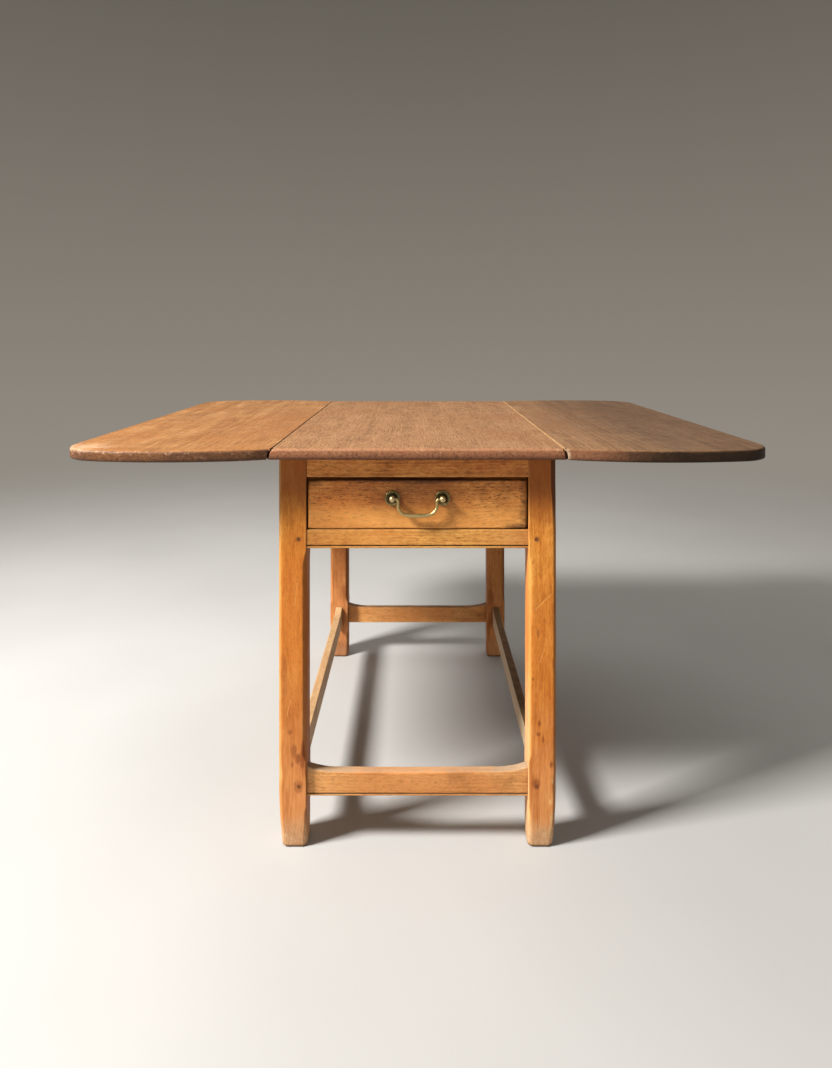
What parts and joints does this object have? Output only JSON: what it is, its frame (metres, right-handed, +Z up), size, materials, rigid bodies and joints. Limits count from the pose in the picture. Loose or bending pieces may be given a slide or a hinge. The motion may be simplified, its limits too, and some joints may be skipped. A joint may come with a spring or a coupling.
{
  "type": "pembroke table",
  "caption": "Joined wooden drop-leaf occasional table: rule-jointed leaves on fly brackets, a front drawer with a brass bail pull, square chamfered legs and a low box stretcher.",
  "frame": {"origin": "on the floor under the middle of the table", "axes": "+X right across the leaves, +Y to the back, +Z up; the drawer faces -Y"},
  "size_m": [1.235, 0.946, 0.715],
  "materials": {
    "wood_top": "waxed, worn",
    "wood_frame": "waxed, worn",
    "wood_secondary": "bare, aged",
    "wood_peg": "aged end grain",
    "brass": "antique, tarnished",
    "iron": "dark, aged",
    "steel": "dull"
  },
  "bodies": {
    "frame": {"centre_top": "wood_top", "leg_front_left": "wood_frame", "leg_front_right": "wood_frame", "leg_rear_left": "wood_frame", "leg_rear_right": "wood_frame", "front_top_rail": "wood_frame", "front_drawer_rail": "wood_frame", "rear_apron": "wood_frame", "side_rail_left": "wood_frame", "side_rail_right": "wood_frame", "stretcher_front": "wood_frame", "stretcher_rear": "wood_frame", "stretcher_left": "wood_frame", "stretcher_right": "wood_frame", "fly_block_left_front": "wood_secondary", "fly_block_left_centre": "wood_secondary", "fly_block_left_rear": "wood_secondary", "fly_block_right_front": "wood_secondary", "fly_block_right_centre": "wood_secondary", "fly_block_right_rear": "wood_secondary", "drawer_runner_left": "wood_secondary", "drawer_runner_right": "wood_secondary", "drawer_guide_left": "wood_secondary", "drawer_guide_right": "wood_secondary", "kicker_left": "wood_secondary", "kicker_right": "wood_secondary", "drawer_stops": "wood_secondary", "joint_pegs": "wood_peg", "fly_pins": "iron", "top_screws": "steel", "fly_block_screws": "steel", "hinge_flaps_fixed_left": "iron", "hinge_flaps_fixed_right": "iron", "hinge_pins": "steel", "hinge_screws_fixed": "steel"},
    "leaf_left": {"leaf_left": "wood_top", "hinge_flaps_leaf_left": "iron", "leaf_left_hinge_screws": "steel"},
    "leaf_right": {"leaf_right": "wood_top", "hinge_flaps_leaf_right": "iron", "leaf_right_hinge_screws": "steel"},
    "fly_left_front": {"fly_bracket_left_front": "wood_secondary"},
    "fly_left_rear": {"fly_bracket_left_rear": "wood_secondary"},
    "fly_right_front": {"fly_bracket_right_front": "wood_secondary"},
    "fly_right_rear": {"fly_bracket_right_rear": "wood_secondary"},
    "drawer": {"drawer_front": "wood_frame", "drawer_side_left": "wood_secondary", "drawer_side_right": "wood_secondary", "drawer_back": "wood_secondary", "drawer_bottom": "wood_secondary", "drawer_bottom_nails": "iron", "rosette_left": "brass", "rosette_right": "brass", "post_left": "brass", "post_right": "brass", "pull_nuts": "brass"},
    "bail": {"drawer_bail": "brass"}
  },
  "joints": [
    {"name": "leaf_left_drop", "type": "hinge", "parent": "frame", "child": "leaf_left", "pos_m": [-0.251, 0, 0.6985], "axis": [0, -1, 0], "range_deg": [0, 90]},
    {"name": "leaf_right_drop", "type": "hinge", "parent": "frame", "child": "leaf_right", "pos_m": [0.251, 0, 0.6985], "axis": [0, 1, 0], "range_deg": [0, 90]},
    {"name": "fly_left_front_swing", "type": "hinge", "parent": "frame", "child": "fly_left_front", "pos_m": [-0.2335, -0.285, 0.65], "axis": [0, 0, -1], "range_deg": [-90, 0]},
    {"name": "fly_left_rear_swing", "type": "hinge", "parent": "frame", "child": "fly_left_rear", "pos_m": [-0.2335, 0.285, 0.65], "axis": [0, 0, 1], "range_deg": [-90, 0]},
    {"name": "fly_right_front_swing", "type": "hinge", "parent": "frame", "child": "fly_right_front", "pos_m": [0.2335, -0.285, 0.65], "axis": [0, 0, 1], "range_deg": [-90, 0]},
    {"name": "fly_right_rear_swing", "type": "hinge", "parent": "frame", "child": "fly_right_rear", "pos_m": [0.2335, 0.285, 0.65], "axis": [0, 0, -1], "range_deg": [-90, 0]},
    {"name": "drawer_slide", "type": "slide", "parent": "frame", "child": "drawer", "axis": [0, -1, 0], "range_m": [0, 0.42]},
    {"name": "bail_swing", "type": "hinge", "parent": "drawer", "child": "bail", "pos_m": [0, -0.4145, 0.621], "axis": [-1, 0, 0], "range_deg": [-8, 172]}
  ]
}
